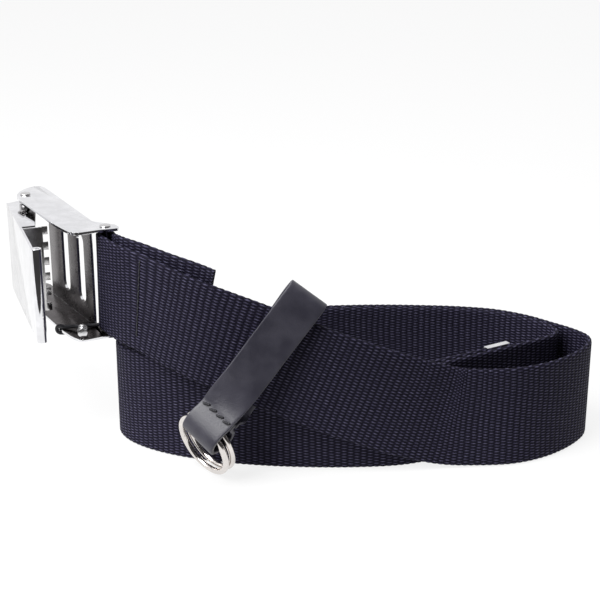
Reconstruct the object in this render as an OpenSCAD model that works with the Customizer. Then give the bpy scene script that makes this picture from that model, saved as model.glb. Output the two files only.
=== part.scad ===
// Gait belt: a coiled webbing strap with a hinged clamp buckle, a leather keeper and two rings.
// Millimetres, +Z up. The coil stands on the lower edge of the webbing, at z = 0.

/* [Webbing] */
// Width of the belt webbing
webbing_w = 50.8; // [50:0.1:51.2]
// Thickness of the belt webbing
webbing_t = 2.5; // [2.2:0.1:2.6]
// Distance along the strap from the end bar to the row of stitches
stitch_row = 32; // [28:1:36]

/* [Buckle] */
// Height of the buckle frame over both walls
frame_h = 57; // [56.5:0.5:59]
// Thickness of the buckle's sheet metal
sheet_t = 1.4; // [1.2:0.1:1.8]
// Heading of the frame from the end bar to the hinge, in degrees
frame_turn = 124; // [121:1:127]
// Distance from the end of the walls to the hinge
hinge_x = 80; // [76:1:82]
// Height of the cover plate
cover_h = 48; // [46:0.5:49]
// Length of the cover plate from the hinge to its rolled edge
cover_l = 82; // [78:1:84]
// How far the cover stands open, in degrees
cover_open = 15; // [0:1:60]
// Diameter of the hinge pin and of the end bar
pin_d = 4; // [3.6:0.1:4.2]
// Number of teeth that grip the webbing
tooth_count = 6; // [4:1:6]

/* [Keeper] */
// Width of the leather keeper
keeper_w = 20; // [18:0.5:21]
// Thickness of the leather
leather_t = 2; // [1.6:0.1:2.2]
// Lean of the hanging keeper from upright, in degrees
keeper_lean = 36; // [34:1:38]
// Radius of the rings at the middle of the wire
ring_r = 15.5; // [14.5:0.5:15.5]
// Diameter of the ring wire
wire_d = 3; // [2.6:0.1:3]
// How far the rings lean back under the keeper, in degrees
ring_lean = 47.5; // [46:0.5:50]

/* [Hidden] */
$fn = 48;

// The whole object is moved so that the middle of its footprint is at x = y = 0
shift = [4.55, -0.88, 0];

// Fits: bodies that move on each other, and a pin in its hole
clear = 0.3;
running_fit = 0.06;
press_gap = 0.02;

// Buckle, measured from the walls' end (x) and from their front edge (depth)
bar_at = [-96, 1];
bar_x = 4;
bar_depth = 18;
frame_lo = 51.4;
frame_hi = frame_lo + frame_h;
wall_end = [[2, 5.2], [6, 8.2], [9.3, 12], [11.4, 16], [11.8, 19.5], [10.3, 22.2], [7.5, 23.2], [4, 23]];
kink_x = 15;
kink_depth = 16.5;
flare_depth = 23.3;
hinge_end_depth = 20;
plate_from = 16;
plate_to = 73;
slot_w = 9;
slot_h = 37;
slot_x = [30, 51];
head_h = 0.6;
head_r = 2.7;

// Cover, measured from the hinge pin with the cover shut
hinge_depth = 9;
cover_t = 1.3;
cover_face = 10;
cover_tail = 2;
cover_lo = frame_lo + (frame_h - cover_h) / 2;
roll_r = 2.5;
roll_bore = 1;
ear_t = 1.3;
ear_r = 5.5;
ear_tip = -44;
strip_t = 1.2;
strip_base = 14;
strip_x = -43;
flange_depth = 10.4;
tooth_l = 2.5;
tooth_w = 4;
tooth_pitch = 8.2;
spacer_r = 3.4;

// Tie round the lower wall
cord_r = 1;
ferrule_r = 2.4;
ferrule_l = 7;
ferrule_at = [6.5, -4, frame_lo + sheet_t + ferrule_r + 0.1];
ferrule_turn = -25;

// Keeper: its crest over the strap, and its lower fold, turned by the rings it holds
keeper_at = [4, -52.6, 92];
keeper_turn = -6;
fold_at = [-44.3, -62.4, 27.8];
fold_turn = [-27, 27.6, -37.7];
fold_side = 0.5;
loop_half = 2;
sew_at = 10.6;
layer_gap = 0.5;
stitch_d = 1;
stitch_count = 4;
ring_gap = 4.2;
ring_drop = 2.2;

// Strap tip
tip_l = 14;
tip_wall = 0.4;

// Lower edge of the strap: the sewn end, the turn round the bar, then the coil from outside in
fold_r = pin_d / 2 + clear + webbing_t / 2;
strap_lo = frame_lo + (frame_h - webbing_w) / 2;
sewn_end = [[-49.2, -39.8, strap_lo - 3.1], [-64.6, -32.2, strap_lo + 0.6],
            [-75.9, -23.9, strap_lo + 2.4], [-84.9, -15.2, strap_lo + 2.4],
            [-90.2, -5.6, strap_lo + 0.8]];
bar_turn = [for (a = [-90:22.5:90])
    [bar_at.x + fold_r * cos(frame_turn + a), bar_at.y + fold_r * sin(frame_turn + a), strap_lo]];
front_run = [[-94.6, -8.2, strap_lo - 0.2], [-87.5, -17.6, 53.8], [-78, -26.5, 53],
             [-66, -35, 49.5], [-50, -43, 44.5], [-28, -49, 37], [0, -52, 25.8], [25, -52, 16.2],
             [48, -49.5, 7.6], [68, -46, 1.8], [84, -44.2, 0.3]];
outer_turn = [[105, -41.5, 0], [122, -33.5, 0], [137, -20, 0], [144.6, -8, 0], [145.4, 1, 0],
              [140, 10, 0], [131, 19, 0], [119, 30, 0], [104, 38.5, 0], [86, 42.8, 0],
              [65, 44.8, 0], [40, 45.5, 0], [14, 44, 0], [-15, 40.5, 0], [-42, 34.5, 0],
              [-64, 26, 0], [-80, 16.5, 0], [-89, 6.5, 0], [-91.6, -3, 0], [-88, -12.5, 0],
              [-80, -21.4, 0], [-66, -30.4, 0], [-46, -38, 0], [-22, -43.2, 0], [5, -45.6, 0],
              [30, -45.4, 0], [48, -43.4, 0], [60, -39.6, 0], [74, -31.5, 0], [91, -21.5, 0],
              [110, -10, 0]];
inner_turn = [[123, -1.8, 0], [129.4, 4, 0], [131.2, 10, 0], [128, 16.8, 0], [116.4, 27.2, 0],
              [102.4, 35, 0], [85.4, 39.1, 0], [64.8, 41.2, 0], [40, 41.9, 0], [14.6, 40.4, 0],
              [-14.2, 37, 0], [-40.8, 31.2, 0], [-62, 23, 0], [-77, 14, 0], [-85.4, 5, 0],
              [-87.8, -3, 0], [-84.8, -10.8, 0], [-77.6, -18.6, 0], [-64.4, -27.2, 0],
              [-45, -34.5, 0], [-21.4, -39.6, 0], [5, -42, 0], [30, -41.8, 0], [47, -39.9, 0],
              [58.4, -36.4, 0], [72.2, -28.4, 0], [89.2, -18.4, 0], [103, -10, 0]];
strap_route = concat(sewn_end, bar_turn, front_run, outer_turn, inner_turn);
steps_per_point = 3;

// Smooth curve through the points of a route, paced by the roots of their distances
function pace(a, b) = sqrt(norm(b - a));
function curve_at(p, q, r, s, t) =
    let (d0 = pace(p, q), d1 = pace(q, r), d2 = pace(r, s),
         leave = d1 * ((q - p) / d0 - (r - p) / (d0 + d1) + (r - q) / d1),
         reach = d1 * ((r - q) / d1 - (s - q) / (d1 + d2) + (s - r) / d2))
    q * (2 * t * t * t - 3 * t * t + 1) + leave * (t * t * t - 2 * t * t + t)
    + r * (3 * t * t - 2 * t * t * t) + reach * (t * t * t - t * t);
function smooth(route, n) = let (last = len(route) - 1) concat(
    [for (i = [0:last - 1]) for (j = [0:n - 1])
        curve_at(i > 0 ? route[i - 1] : 2 * route[0] - route[1], route[i], route[i + 1],
                 i + 1 < last ? route[i + 2] : 2 * route[last] - route[last - 1], j / n)],
    [route[last]]);
function between(list, n) = concat(
    [for (i = [0:len(list) - 2]) for (j = [0:n - 1]) list[i] + (list[i + 1] - list[i]) * j / n],
    [list[len(list) - 1]]);
function unit(v) = v / norm(v);
function tangent(line, i) = unit(line[min(i + 1, len(line) - 1)] - line[max(i - 1, 0)]);

// Faces that close a stack of rings with the same number of points
function tube_faces(rings, sides) = concat(
    [for (i = [0:rings - 2]) for (j = [0:sides - 1])
        let (a = i * sides + j, b = i * sides + (j + 1) % sides)
        each [[a, b, b + sides], [a, b + sides, a + sides]]],
    [for (j = [1:sides - 2]) [0, j + 1, j]],
    [for (j = [1:sides - 2]) let (e = (rings - 1) * sides) [e, e + j, e + j + 1]]);

// The strap's section stands square to its line, and upright on the bar: across, then up its width
strap_line = smooth(strap_route, steps_per_point);
edge_cut = 0.6;
strap_section = [[-webbing_t / 2, edge_cut], [-webbing_t / 2 + edge_cut, 0],
                 [webbing_t / 2 - edge_cut, 0], [webbing_t / 2, edge_cut],
                 [webbing_t / 2, webbing_w - edge_cut], [webbing_t / 2 - edge_cut, webbing_w],
                 [-webbing_t / 2 + edge_cut, webbing_w], [-webbing_t / 2, webbing_w - edge_cut]];
bar_middle = (len(sewn_end) + (len(bar_turn) - 1) / 2) * steps_per_point;
function lean_share(i) = min(1, max(0, (abs(strap_length[i] - strap_length[bar_middle]) - 8) / 32));
function strap_ring(line, i) =
    let (d = tangent(line, i), t = unit([d.x, d.y, d.z * lean_share(i)]),
         across = unit([t.y, -t.x, 0]), up = cross(across, t))
    [for (s = strap_section) line[i] + across * s.x + up * s.y];

// Length of the strap and its least gap to itself, both measured on the line's points
function lengths(line) = [for (i = 0, s = 0; i < len(line);
    s = s + (i + 1 < len(line) ? norm(line[i + 1] - line[i]) : 0), i = i + 1) s];
strap_length = lengths(strap_line);
function flat(p) = [p.x, p.y];
function to_span(p, a, b) =
    let (d = b - a, t = min(1, max(0, (p - a) * d / (d * d)))) norm(p - a - d * t);
far_apart = 16;
strap_gap = min([for (i = [0:len(strap_line) - 1]) for (j = [0:len(strap_line) - 2])
    if (abs(strap_length[i] - strap_length[j]) > far_apart
        && abs(strap_line[i].z - strap_line[j].z) < webbing_w)
    to_span(flat(strap_line[i]), flat(strap_line[j]), flat(strap_line[j + 1]))]) - webbing_t;
echo(strap_length = strap_length[len(strap_line) - 1], strap_gap = strap_gap);

module in_buckle() {
    translate(shift) translate([bar_at.x, bar_at.y, 0]) rotate(frame_turn)
        translate([-bar_x, bar_depth, 0]) children();
}

module in_cover() {
    in_buckle() translate([hinge_x, -hinge_depth, 0]) rotate(-cover_open) children();
}

// The keeper's fold: x along the fold, y to the back, z up the keeper
module in_fold() {
    translate(shift) translate(fold_at) rotate(fold_turn) children();
}

module webbing() {
    rings = [for (i = [0:len(strap_line) - 1]) strap_ring(strap_line, i)];
    sides = len(strap_section);
    color("#17161c") translate(shift)
        polyhedron([for (r = rings) each r], tube_faces(len(rings), sides), convexity = 12);
}

// Threads that go through the strap and its turned-back end, in one upright row
module fold_stitching() {
    thread_d = 0.8;
    thread_pitch = 4;
    proud = 0.3;
    row_count = 11;
    first = 8;
    through = 2 * webbing_t + 2 * clear + 2 * proud;
    after_bar = (len(sewn_end) + len(bar_turn) - 1) * steps_per_point;
    i = [for (k = [after_bar:len(strap_line) - 1])
        if (strap_length[k] - strap_length[after_bar] > stitch_row) k][0];
    t = tangent(strap_line, i);
    color("#101014") translate(shift) translate(strap_line[i]) rotate(atan2(t.y, t.x))
        for (k = [0:row_count - 1]) translate([0, -webbing_t / 2 - proud, first + k * thread_pitch])
            rotate([-90, 0, 0]) cylinder(d = thread_d, h = through, $fn = 16);
}

// Pressed metal end on the free end of the strap
module strap_tip() {
    end = strap_line[len(strap_line) - 1];
    t = tangent(strap_line, len(strap_line) - 1);
    color("#c9c9cc") translate(shift) translate(end) rotate(atan2(t.y, t.x)) difference() {
        translate([-tip_l + 1, -webbing_t / 2 - tip_wall, 0])
            cube([tip_l, webbing_t + 2 * tip_wall, webbing_w + tip_wall]);
        translate([-tip_l, -webbing_t / 2 - press_gap, -1])
            cube([tip_l + press_gap, webbing_t + 2 * press_gap, webbing_w + 1 + press_gap]);
    }
}

// One wall: a straight front edge, a flared end at the bar and a rounded end at the hinge
module buckle_wall() {
    front_in = 3.4;
    linear_extrude(sheet_t) polygon(concat(
        [[bar_x + 5, 1.2], [18, 1.5], [hinge_x - 6, -front_in + 0.5], [hinge_x - 2, -front_in]],
        [for (p = wall_end) [hinge_x + p.x, -p.y]],
        [[kink_x, -kink_depth], [bar_x, -flare_depth], [0, -flare_depth]],
        [[-1.7, -flare_depth + 0.5], [-2.6, -flare_depth + 1.8], [-2.4, -flare_depth + 3.6]],
        [[0, -12], [0.8, -4], [1.6, -1.6], [3.2, 0], [bar_x + 2, 0.8]]));
}

function back_depth(x) = kink_depth + (x - kink_x) * (hinge_end_depth - kink_depth) / (hinge_x - kink_x);

module frame_slot(x) {
    slot_r = slot_w / 2;
    reach = 20;
    translate([x, -kink_depth - reach / 2, frame_lo + frame_h / 2]) rotate([-90, 0, 0]) {
        translate([-slot_r, -slot_h / 2 + slot_r, 0]) cube([slot_w, slot_h - slot_w, reach]);
        for (s = [-1, 1]) translate([0, s * (slot_h / 2 - slot_r), 0]) cylinder(r = slot_r, h = reach);
    }
}

// One bent sheet: two walls and the slotted back plate between them
module buckle_frame() {
    color("#d4d4d8") in_buckle() difference() {
        union() {
            translate([0, 0, frame_lo]) buckle_wall();
            translate([0, 0, frame_hi - sheet_t]) buckle_wall();
            translate([0, 0, frame_lo]) linear_extrude(frame_h) polygon([
                [plate_from, -back_depth(plate_from)], [plate_to, -back_depth(plate_to)],
                [plate_to, -back_depth(plate_to) + sheet_t],
                [plate_from, -back_depth(plate_from) + sheet_t]]);
        }
        for (x = slot_x) frame_slot(x);
        translate([bar_x, -bar_depth, frame_lo - 1])
            cylinder(d = pin_d + 2 * press_gap, h = frame_h + 2);
        translate([hinge_x, -hinge_depth, frame_lo - 1])
            cylinder(d = pin_d + 2 * press_gap, h = frame_h + 2);
    }
}

// A pin through both walls with a low riveted head at each end
module riveted_pin() {
    translate([0, 0, frame_lo]) cylinder(d = pin_d, h = frame_h);
    translate([0, 0, frame_lo - head_h]) cylinder(r = head_r, h = head_h);
    translate([0, 0, frame_hi]) cylinder(r = head_r, h = head_h);
}

module end_bar() {
    color("#c4c4c8") in_buckle() translate([bar_x, -bar_depth, 0]) difference() {
        riveted_pin();
        translate([0, 0, frame_lo - 2 * head_h]) cylinder(r = head_r + 1, h = 2 * head_h);
    }
}

module pivot_pin() {
    color("#c4c4c8") in_buckle() translate([hinge_x, -hinge_depth, 0]) riveted_pin();
}

// Bushes on the pin that keep the cover in the middle of the frame
module pin_spacers() {
    gap = 0.1;
    length = cover_lo - frame_lo - sheet_t - 2 * gap;
    color("#b4b4b8") in_buckle() translate([hinge_x, -hinge_depth, 0])
        for (z = [frame_lo + sheet_t + gap, frame_hi - sheet_t - gap - length])
            translate([0, 0, z]) difference() {
                cylinder(r = spacer_r, h = length);
                translate([0, 0, -1]) cylinder(d = pin_d + 2 * press_gap, h = length + 2);
            }
}

module cover_ear() {
    difference() {
        union() {
            cylinder(r = ear_r, h = ear_t);
            linear_extrude(ear_t) polygon([[ear_tip, cover_face - cover_t], [ear_tip, 2],
                [-2, -ear_r + 0.4], [ear_r - 0.4, 1.8], [cover_tail, cover_face - cover_t]]);
        }
        translate([0, 0, -1]) cylinder(d = pin_d + 2 * running_fit, h = ear_t + 2);
    }
}

// Face plate with a rolled free edge and an ear at top and bottom that turns on the pin
module cover_plate() {
    color("#e6e6ea") in_cover() translate([0, 0, cover_lo]) {
        translate([-cover_l, cover_face - cover_t, 0])
            cube([cover_l + cover_tail, cover_t, cover_h]);
        difference() {
            translate([-cover_l, cover_face - roll_r, 0]) cylinder(r = roll_r, h = cover_h);
            translate([-cover_l, cover_face - roll_r - 0.4, -1])
                cylinder(r = roll_bore, h = cover_h + 2);
        }
        cover_ear();
        translate([0, 0, cover_h - ear_t]) cover_ear();
    }
}

// Bent strip welded inside the cover, with a row of square teeth
module tooth_strip() {
    side_gap = ear_t + 0.3;
    length = cover_h - 2 * side_gap;
    base_y = cover_face - cover_t;
    color("#bdbdc2") in_cover() translate([strip_x, 0, cover_lo + side_gap]) {
        translate([0, base_y - strip_t, 0]) cube([strip_base, strip_t, length]);
        translate([0, base_y - flange_depth, 0]) cube([strip_t, flange_depth, length]);
        for (k = [0:tooth_count - 1])
            translate([0, base_y - flange_depth - tooth_l,
                       length / 2 + (k - (tooth_count - 1) / 2) * tooth_pitch - tooth_w / 2])
                cube([strip_t, tooth_l + 0.5, tooth_w]);
    }
}

// Cord from one side of the ferrule, round the lower wall and back to the ferrule
cord_over = frame_lo + sheet_t + cord_r + 0.1;
cord_under = frame_lo - cord_r - 0.1;
ferrule_mouth = [ferrule_at.x + ferrule_l / 2 * cos(ferrule_turn),
                 ferrule_at.y + ferrule_l / 2 * sin(ferrule_turn)];
mouth_side = 1.15 * [-sin(ferrule_turn), cos(ferrule_turn)];
mouth_ahead = 1.5 * [cos(ferrule_turn), sin(ferrule_turn)];
mouth_a = ferrule_mouth + mouth_side;
mouth_b = ferrule_mouth - mouth_side;
wall_middle = frame_lo + sheet_t / 2;
bend_r = sheet_t / 2 + cord_r + 0.1;
function tie_bend(at, way, first) = [for (a = [90:-45:-90])
    [at.x + bend_r * cos(a) * way.x, at.y + bend_r * cos(a) * way.y,
     wall_middle + first * bend_r * sin(a)]];
tie_route = concat(
    [[mouth_a.x, mouth_a.y, ferrule_at.z],
     [mouth_a.x + mouth_ahead.x, mouth_a.y + mouth_ahead.y, ferrule_at.z]],
    [[15, -4, 55], [19.5, -1, cord_over]], tie_bend([22.4, 1.2], [0.82, 0.57], 1),
    [[19.8, -5.4, cord_under], [15.9, -12, cord_under]], tie_bend([12.1, -19], [-0.53, -0.85], -1),
    [[13.3, -14.4, cord_over + 0.1], [14.2, -10, cord_over + 0.4]],
    [[mouth_b.x + mouth_ahead.x, mouth_b.y + mouth_ahead.y, ferrule_at.z],
     [mouth_b.x, mouth_b.y, ferrule_at.z]]);
tie_line = smooth(tie_route, 3);
cord_sides = 8;
function cord_ring(line, i) =
    let (t = tangent(line, i), side = unit(cross(t, [0.5, -0.6, 0.62])), up = cross(side, t))
    [for (k = [0:cord_sides - 1])
        line[i] + cord_r * (cos(k * 360 / cord_sides) * side + sin(k * 360 / cord_sides) * up)];

module tie_cord() {
    rings = [for (i = [0:len(tie_line) - 1]) cord_ring(tie_line, i)];
    color("#141418") in_buckle()
        polyhedron([for (r = rings) each r], tube_faces(len(rings), cord_sides), convexity = 6);
}

// Crimped metal ferrule with three ribs that holds both ends of the cord
module tie_ferrule() {
    rib_h = 1.5;
    rib_r = ferrule_r;
    waist_r = ferrule_r - 0.4;
    color("#c8c8cc") in_buckle() translate(ferrule_at) rotate(ferrule_turn) rotate([0, 90, 0])
        translate([0, 0, -ferrule_l / 2]) {
            cylinder(r = waist_r, h = ferrule_l);
            for (k = [0:2]) translate([0, 0, k * (ferrule_l - rib_h) / 2])
                cylinder(r = rib_r, h = rib_h);
        }
}

// Directions after turns about x, then y, then z
function turned(v, r) =
    let (a = [v.x, v.y * cos(r.x) - v.z * sin(r.x), v.y * sin(r.x) + v.z * cos(r.x)],
         b = [a.x * cos(r.y) + a.z * sin(r.y), a.y, a.z * cos(r.y) - a.x * sin(r.y)])
    [b.x * cos(r.z) - b.y * sin(r.z), b.x * sin(r.z) + b.y * cos(r.z), b.z];
function at_crest(y, z) = keeper_at + turned([0, y, z], [0, keeper_lean, keeper_turn]);
function at_fold(y, z, x = 0) = fold_at + turned([fold_side + x, y, z], fold_turn);
crest_side = turned([1, 0, 0], [0, keeper_lean, keeper_turn]);
fold_along = turned([1, 0, 0], fold_turn);

// Middle line of the leather: up behind the strap, over it, down the front and round the rings
loop_mid = loop_half + leather_t / 2;
layer = leather_t + layer_gap;
roll_front = -5.4;
roll_back = 7.4;
under_turns = [0, 0, 0, 0, 10, 17.5, 21.7, 22.5, 22.5, 22.5];
behind_side = turned([1, 0, 0], [0, keeper_lean, keeper_turn - 7]);
keeper_route = concat(
    [at_fold(layer + 0.2, sew_at - 0.9), at_fold(layer + 0.2, sew_at + 0.4),
     at_fold(layer + 0.7, sew_at + 1.6), at_fold(layer + 2, sew_at + 2.4),
     at_fold(6.8, sew_at + 2.5, -0.2), at_fold(9.2, sew_at + 2.4, -0.8),
     at_fold(11.8, sew_at + 2.4, -1.9), at_fold(13.9, sew_at + 2.6, -2.9),
     at_fold(15.3, sew_at + 3.9, -3.7), at_fold(15.7, sew_at + 5.9, -4)],
    [at_crest(loop_mid + 0.7, -56) + 4 * behind_side, at_crest(loop_mid + 0.4, -30) + 1.5 * crest_side,
     at_crest(loop_mid, -loop_mid - 4)],
    [for (a = [0:30:180]) at_crest(loop_mid * cos(a), loop_mid * sin(a) - loop_mid)],
    [at_crest(-loop_mid - 0.8, -loop_mid - 4), at_crest(-loop_mid - 3.6, -26),
     at_crest(-loop_mid - 8, -50)],
    [at_fold(-layer, sew_at + 2), at_fold(-layer, sew_at), at_fold(-layer - 0.6, sew_at - 2),
     at_fold(roll_front + 0.4, 4.6), at_fold(roll_front, 1), at_fold(roll_front + 1, -2.8),
     at_fold(-1, -5.4), at_fold(3, -4.6), at_fold(roll_back - 0.7, -1.4), at_fold(roll_back, 2.2),
     at_fold(roll_back - 1, 5.2), at_fold(4.6, 7), at_fold(2.6, 7.7), at_fold(1.2, 8),
     at_fold(0.2, 8.7), at_fold(-0.1, sew_at - 1.1), at_fold(0, sew_at - 0.2), at_fold(0, sew_at + 1.4)]);
route_sides = concat([for (a = under_turns) turned([cos(a), sin(a), 0], fold_turn)],
    [behind_side], [for (k = [0:11]) crest_side], [for (k = [0:17]) fold_along]);
keeper_line = smooth(keeper_route, 3);
keeper_sides = between(route_sides, 3);
leather_section = [[-keeper_w / 2, -leather_t / 2 + 0.4], [-keeper_w / 2 + 0.4, -leather_t / 2],
                   [keeper_w / 2 - 0.4, -leather_t / 2], [keeper_w / 2, -leather_t / 2 + 0.4],
                   [keeper_w / 2, leather_t / 2 - 0.4], [keeper_w / 2 - 0.4, leather_t / 2],
                   [-keeper_w / 2 + 0.4, leather_t / 2], [-keeper_w / 2, leather_t / 2 - 0.4]];
function leather_out(i) = unit(cross(keeper_sides[i], tangent(keeper_line, i)));
function leather_ring(i) =
    let (out = leather_out(i), w = cross(tangent(keeper_line, i), out))
    [for (s = leather_section) keeper_line[i] + w * s.x + out * s.y];

// Length of the leather and the least gap between its faces, measured at the middle of its width
keeper_length = lengths(keeper_line);
leather_faces = [for (f = [-1, 1]) [for (i = [0:len(keeper_line) - 1])
    keeper_line[i] + f * leather_out(i) * leather_t / 2]];
keeper_gap = min([for (a = leather_faces) for (b = leather_faces)
    for (i = [0:len(a) - 1]) for (j = [0:len(b) - 2])
    if (keeper_length[j] - keeper_length[i] > 4 * leather_t
        || keeper_length[i] - keeper_length[j + 1] > 4 * leather_t)
    to_span(a[i], b[j], b[j + 1])]);
echo(keeper_length = keeper_length[len(keeper_line) - 1], keeper_gap = keeper_gap);

// Leather strip that goes over the strap, is sewn below it and folds round the rings
module keeper_strap() {
    rings = [for (i = [0:len(keeper_line) - 1]) leather_ring(i)];
    color("#1c1b20") translate(shift)
        polyhedron([for (r = rings) each r], tube_faces(len(rings), len(leather_section)),
                   convexity = 8);
}

// Heavy threads through the sewn layers, in one row across the keeper
module keeper_stitching() {
    proud = 0.3;
    front = -layer - leather_t / 2 - proud;
    pitch = keeper_w / (stitch_count + 0.4);
    color("#0e0e12") in_fold() for (k = [0:stitch_count - 1])
        translate([fold_side + (k - (stitch_count - 1) / 2) * pitch, front, sew_at])
            rotate([-90, 0, 0]) cylinder(d = stitch_d, h = -2 * front, $fn = 16);
}

// A round wire ring that hangs through the keeper's fold and swings on it
module wire_ring(back) {
    color("#cfcfd2") in_fold() rotate([ring_lean, 0, 0])
        translate([0, back, ring_drop - ring_r]) rotate([90, 0, 0])
            rotate_extrude($fn = 64) translate([ring_r, 0]) circle(d = wire_d, $fn = 24);
}

module ring_front() { wire_ring(0); }
module ring_back() { wire_ring(ring_gap); }

webbing();
fold_stitching();
strap_tip();
buckle_frame();
end_bar();
pivot_pin();
pin_spacers();
cover_plate();
tooth_strip();
tie_cord();
tie_ferrule();
keeper_strap();
keeper_stitching();
ring_front();
ring_back();
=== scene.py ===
"""Dress the coiled gait belt: its webbing, clamp buckle, cord tie, leather keeper and rings."""
import bisect
import logging
import math
from dataclasses import dataclass
from enum import Enum
from typing import Callable, Sequence

import bpy
from mathutils import Euler, Matrix, Vector


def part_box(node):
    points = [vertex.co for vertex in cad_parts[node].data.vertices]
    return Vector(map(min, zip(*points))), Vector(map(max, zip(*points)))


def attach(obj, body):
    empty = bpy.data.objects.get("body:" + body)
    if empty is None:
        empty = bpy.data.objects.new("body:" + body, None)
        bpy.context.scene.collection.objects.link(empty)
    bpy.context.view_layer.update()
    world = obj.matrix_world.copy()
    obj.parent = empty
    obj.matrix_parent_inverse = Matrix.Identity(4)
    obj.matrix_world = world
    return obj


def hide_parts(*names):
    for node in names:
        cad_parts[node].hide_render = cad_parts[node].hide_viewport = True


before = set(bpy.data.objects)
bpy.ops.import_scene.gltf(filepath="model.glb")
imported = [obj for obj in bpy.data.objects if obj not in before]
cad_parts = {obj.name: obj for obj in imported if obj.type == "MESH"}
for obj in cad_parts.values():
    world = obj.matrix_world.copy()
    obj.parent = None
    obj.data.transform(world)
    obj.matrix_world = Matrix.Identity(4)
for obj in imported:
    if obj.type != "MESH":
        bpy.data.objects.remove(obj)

LOG = logging.getLogger("gait_belt")
MM = 0.001
# Where the drawing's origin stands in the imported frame
SHIFT = Vector((4.55, -0.88, 0.0)) * MM
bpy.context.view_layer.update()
# The floor's front edge, just out of the picture, so that polished faces show the dark room there
FLOOR_FRONT = -175 * MM


class Body(Enum):
    """The bodies that pieces ride on."""

    BELT = "belt"
    BUCKLE = "buckle"
    COVER = "cover"
    KEEPER = "keeper"
    FRONT_RING = "front_ring"
    BACK_RING = "back_ring"


class Slot(Enum):
    """The record's material slots."""

    WEBBING = "webbing"
    THREAD = "thread"
    CORD = "cord"
    LEATHER = "leather"
    BRIGHT_METAL = "bright_metal"
    PIN_METAL = "pin_metal"
    RING_METAL = "ring_metal"
    TIP_METAL = "tip_metal"


class Number:
    """A number that varies over a surface; sums with it add Math nodes."""

    def __init__(self, shader: "Shader", socket: bpy.types.NodeSocket) -> None:
        """Wrap a socket.

        Args:
            shader: The material's node tree that the socket belongs to.
            socket: The output socket to wrap.
        """
        self.shader = shader
        self.socket = socket

    def _sum(self, operation: str, first: "Number | float", second: "Number | float" = 0.0) -> "Number":
        """Add one Math node.

        Args:
            operation: The Math node's operation.
            first: Its first value.
            second: Its second value.

        Returns:
            The node's result.
        """
        return self.shader.node("ShaderNodeMath", {"operation": operation}, {0: first, 1: second})

    def __add__(self, other: "Number | float") -> "Number":
        """Sum."""
        return self._sum("ADD", self, other)

    __radd__ = __add__

    def __sub__(self, other: "Number | float") -> "Number":
        """Difference."""
        return self._sum("SUBTRACT", self, other)

    def __rsub__(self, other: float) -> "Number":
        """Difference from a plain number."""
        return self._sum("SUBTRACT", other, self)

    def __mul__(self, other: "Number | float") -> "Number":
        """Product."""
        return self._sum("MULTIPLY", self, other)

    __rmul__ = __mul__

    def __pow__(self, other: float) -> "Number":
        """Power."""
        return self._sum("POWER", self, other)

    def cos(self) -> "Number":
        """Cosine of an angle in radians."""
        return self._sum("COSINE", self)

    def at_least(self, other: "Number | float") -> "Number":
        """The larger of two numbers."""
        return self._sum("MAXIMUM", self, other)

    def at_most(self, other: "Number | float") -> "Number":
        """The smaller of two numbers."""
        return self._sum("MINIMUM", self, other)

    def step(self, low: float, high: float) -> "Number":
        """Rise smoothly from 0 at low to 1 at high.

        Args:
            low: Where the rise starts.
            high: Where it ends.

        Returns:
            A number from 0 to 1.
        """
        return self.shader.node("ShaderNodeMapRange", {"interpolation_type": "SMOOTHSTEP"},
                                {"Value": self, "From Min": low, "From Max": high})


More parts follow.
